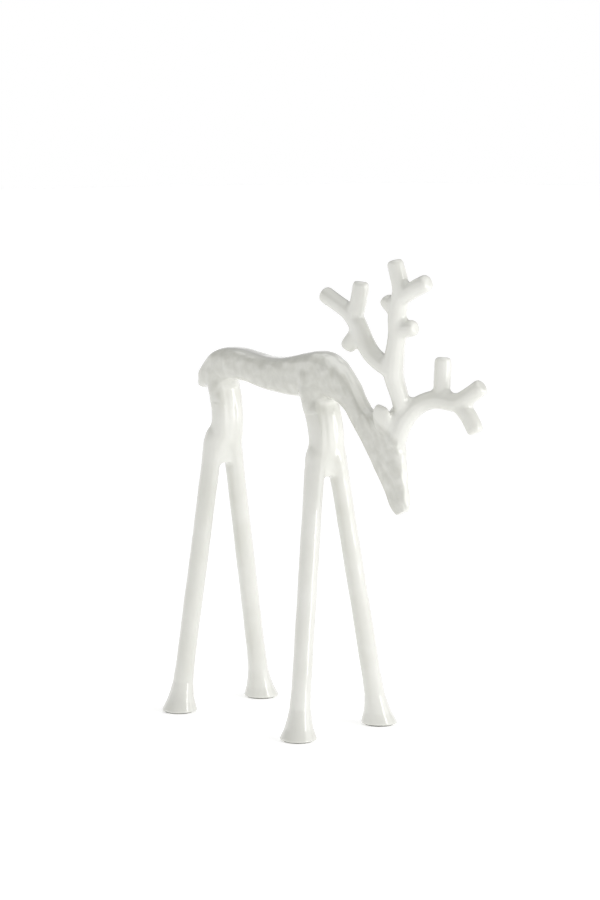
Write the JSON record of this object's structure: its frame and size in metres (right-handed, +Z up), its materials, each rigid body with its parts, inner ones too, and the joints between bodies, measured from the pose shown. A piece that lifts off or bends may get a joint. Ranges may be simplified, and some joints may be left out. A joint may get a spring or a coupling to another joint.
{
  "type": "reindeer ornament",
  "caption": "Free-standing reindeer figure of round white enamelled metal bars, with a slab body, bowed head, branching antlers and bell hooves.",
  "frame": {"origin": "on the surface it stands on, in the middle of the whole length and width", "axes": "+X the way the reindeer faces, +Y its left side, +Z up"},
  "size_m": [0.3102, 0.1228, 0.3999],
  "materials": {
    "white_enamel": "thick glossy white enamel, uneven from hand forming",
    "dowel_steel": "plain drawn rod",
    "grey_felt": "thin pressed felt"
  },
  "bodies": {
    "root": {"back_spur": "white_enamel", "body": "white_enamel", "front_left_leg": "white_enamel", "front_left_leg_dowel": "dowel_steel", "front_left_pad": "grey_felt", "front_right_leg": "white_enamel", "front_right_leg_dowel": "dowel_steel", "front_right_pad": "grey_felt", "front_spur": "white_enamel", "head": "white_enamel", "head_dowel": "dowel_steel", "hind_left_leg": "white_enamel", "hind_left_leg_dowel": "dowel_steel", "hind_left_pad": "grey_felt", "hind_right_leg": "white_enamel", "hind_right_leg_dowel": "dowel_steel", "hind_right_pad": "grey_felt", "left_antler_beam": "white_enamel", "left_antler_dowel": "dowel_steel", "left_ear": "white_enamel", "left_lower_tine": "white_enamel", "left_upper_tine": "white_enamel", "rear_fork_tine": "white_enamel", "rear_spur": "white_enamel", "right_antler_beam": "white_enamel", "right_antler_dowel": "dowel_steel", "right_ear": "white_enamel", "right_rear_branch": "white_enamel", "top_tine": "white_enamel"}
  },
  "joints": []
}
